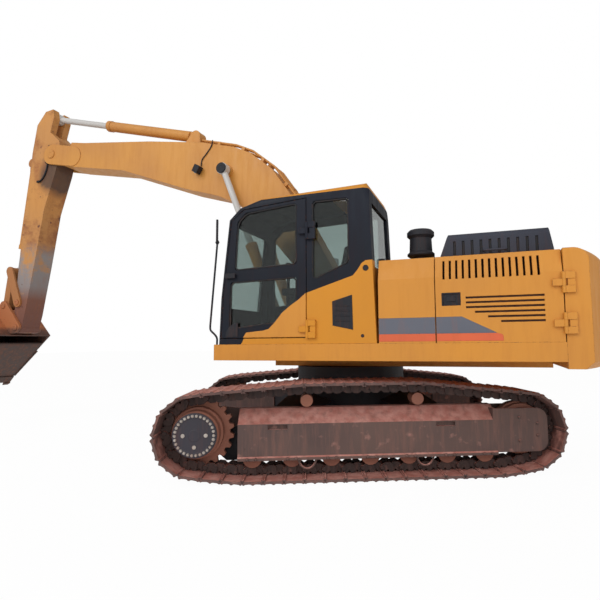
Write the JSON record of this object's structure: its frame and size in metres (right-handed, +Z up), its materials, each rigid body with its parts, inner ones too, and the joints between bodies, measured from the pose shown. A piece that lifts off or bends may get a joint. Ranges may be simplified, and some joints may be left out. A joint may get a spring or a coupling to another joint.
{
  "type": "crawler excavator",
  "caption": "Crawler excavator: slewing upper structure with cab, engine house and counterweight, cranked boom, arm and bucket on hydraulic cylinders, steel tracks.",
  "frame": {"origin": "on the ground under the middle of the whole machine's box, in its rest pose", "axes": "+X forward along the boom, towards the bucket; +Y to the operator's left; +Z up. The undercarriage is turned 22 degrees anticlockwise under the upper structure."},
  "size_m": [9.6518, 4.1184, 5.2515],
  "materials": {
    "undercarriage_paint": "matt brown paint under clay and rust",
    "track_steel": "rusted steel with worn edges",
    "dark_steel": "dark oiled steel",
    "body_paint": "semi-gloss orange yellow paint",
    "boom_paint": "weathered orange paint",
    "cab_paint": "semi-gloss near-black paint",
    "glass": "clear glass",
    "seat_fabric": "woven cover",
    "dark_plastic": "satin charcoal",
    "rail_steel": "black enamel",
    "rod_chrome": "hard chrome",
    "bucket_steel": "worn paint over rusty steel"
  },
  "bodies": {
    "undercarriage": {"carbody": "undercarriage_paint", "idler_left": "undercarriage_paint", "idler_right": "undercarriage_paint", "rollers_left": "undercarriage_paint", "rollers_right": "undercarriage_paint", "sprocket_left": "dark_steel", "sprocket_right": "dark_steel", "swing_bearing": "dark_steel", "track_frame_left": "undercarriage_paint", "track_frame_right": "undercarriage_paint", "track_left": "track_steel", "track_right": "track_steel"},
    "cab_door": {"cab_door": "cab_paint", "cab_door_glass": "glass"},
    "left_rear_door": {"left_rear_door": "body_paint"},
    "right_rear_door": {"right_rear_door": "body_paint"},
    "hood": {"hood": "dark_plastic"},
    "boom": {"boom": "boom_paint", "boom_pin": "dark_steel", "boom_pipes": "dark_steel", "work_lamp": "dark_plastic"},
    "boom_cylinder_barrels": {"boom_cylinder_barrels": "boom_paint"},
    "boom_cylinder_rods": {"boom_cylinder_rods": "rod_chrome"},
    "arm": {"arm": "boom_paint"},
    "arm_cylinder_barrel": {"arm_cylinder_barrel": "boom_paint"},
    "arm_cylinder_rod": {"arm_cylinder_rod": "rod_chrome"},
    "bucket_cylinder_barrel": {"bucket_cylinder_barrel": "boom_paint"},
    "bucket_cylinder_rod": {"bucket_cylinder_rod": "rod_chrome"},
    "rocker": {"rocker_links": "bucket_steel"},
    "bucket_link": {"bucket_link": "bucket_steel"},
    "bucket": {"bucket": "bucket_steel", "bucket_teeth": "bucket_steel"},
    "upper": {"cab_glass": "glass", "cab_shell": "cab_paint", "control_consoles": "dark_plastic", "counterweight": "body_paint", "engine_block": "dark_steel", "engine_house": "body_paint", "exhaust_pipe": "dark_steel", "fuel_tank": "body_paint", "handrails": "rail_steel", "hydraulic_tank": "body_paint", "left_front_cover": "body_paint", "mirrors": "dark_plastic", "operator_seat": "seat_fabric", "pre_cleaner": "dark_plastic", "radiator": "dark_steel", "right_front_cover": "body_paint", "tool_box": "body_paint", "upper_frame": "body_paint"}
  },
  "joints": [
    {"name": "slew", "type": "hinge", "parent": "undercarriage", "child": "upper", "pos_m": [-1.97597, -0.00132, 1.05], "axis": [0, 0, 1], "continuous": true},
    {"name": "boom_lift", "type": "hinge", "parent": "upper", "child": "boom", "pos_m": [-1.97597, -0.00132, 1.76], "axis": [0, -1, 0], "range_deg": [-58, 37]},
    {"name": "arm_swing", "type": "hinge", "parent": "boom", "child": "arm", "pos_m": [3.04746, -0.00132, 4.45354], "axis": [0, 1, 0], "range_deg": [-80, 36]},
    {"name": "bucket_curl", "type": "hinge", "parent": "arm", "child": "bucket", "pos_m": [3.65535, -0.00132, 1.61797], "axis": [0, 1, 0], "range_deg": [-8, 160]},
    {"name": "cab_door_swing", "type": "hinge", "parent": "upper", "child": "cab_door", "pos_m": [-1.92397, 1.36568, 2], "axis": [0, 0, 1], "range_deg": [0, 160]},
    {"name": "left_door_swing", "type": "hinge", "parent": "upper", "child": "left_rear_door", "pos_m": [-4.28197, 1.36868, 1.7], "axis": [0, 0, 1], "range_deg": [0, 95]},
    {"name": "right_door_swing", "type": "hinge", "parent": "upper", "child": "right_rear_door", "pos_m": [-4.28197, -1.37132, 1.7], "axis": [0, 0, -1], "range_deg": [0, 95]},
    {"name": "hood_lift", "type": "hinge", "parent": "upper", "child": "hood", "pos_m": [-4.27497, -0.00132, 2.16], "axis": [0, -1, 0], "range_deg": [0, 70]},
    {"name": "boom_cylinder_tilt", "type": "hinge", "parent": "upper", "child": "boom_cylinder_barrels", "pos_m": [-1.25597, -0.00132, 1.25], "axis": [0, -1, 0], "range_deg": [-57.63, 36.95]},
    {"name": "boom_cylinder_stroke", "type": "slide", "parent": "boom_cylinder_barrels", "child": "boom_cylinder_rods", "axis": [0.3729, 0, 0.9279], "range_m": [-0.7668, 0.4899]},
    {"name": "arm_cylinder_tilt", "type": "hinge", "parent": "boom", "child": "arm_cylinder_barrel", "pos_m": [0.3599, -0.00132, 4.40815], "axis": [0, 1, 0], "range_deg": [-2.1, 1.22]},
    {"name": "arm_cylinder_stroke", "type": "slide", "parent": "arm_cylinder_barrel", "child": "arm_cylinder_rod", "axis": [0.9664, 0, 0.2571], "range_m": [-0.7399, 0.3341]},
    {"name": "bucket_cylinder_tilt", "type": "hinge", "parent": "arm", "child": "bucket_cylinder_barrel", "pos_m": [3.62646, -0.00132, 4.42426], "axis": [0, 1, 0], "range_deg": [-0.58, 2.1]},
    {"name": "bucket_cylinder_stroke", "type": "slide", "parent": "bucket_cylinder_barrel", "child": "bucket_cylinder_rod", "axis": [0.1255, 0, -0.9921], "range_m": [-0.0531, 1.0241]},
    {"name": "rocker_swing", "type": "hinge", "parent": "arm", "child": "rocker", "pos_m": [3.6595, -0.00132, 2.02795], "axis": [0, 1, 0], "range_deg": [-6.82, 126.9]},
    {"name": "bucket_link_swing", "type": "hinge", "parent": "bucket", "child": "bucket_link", "pos_m": [3.94475, -0.00132, 1.98069], "axis": [0, 1, 0], "range_deg": [-101.3, 5.54]}
  ],
  "couplings": [
    {"joint": "boom_cylinder_tilt", "follows": "boom_lift", "ratio": 0.985},
    {"joint": "boom_cylinder_stroke", "follows": "boom_lift", "m_per_rad": 0.7555},
    {"joint": "arm_cylinder_tilt", "follows": "arm_swing", "ratio": 0.02},
    {"joint": "arm_cylinder_stroke", "follows": "arm_swing", "m_per_rad": 0.5285},
    {"joint": "bucket_cylinder_tilt", "follows": "bucket_curl", "ratio": 0.01},
    {"joint": "bucket_cylinder_stroke", "follows": "bucket_curl", "m_per_rad": 0.366},
    {"joint": "rocker_swing", "follows": "bucket_curl", "ratio": 0.79},
    {"joint": "bucket_link_swing", "follows": "bucket_curl", "ratio": -0.63}
  ]
}
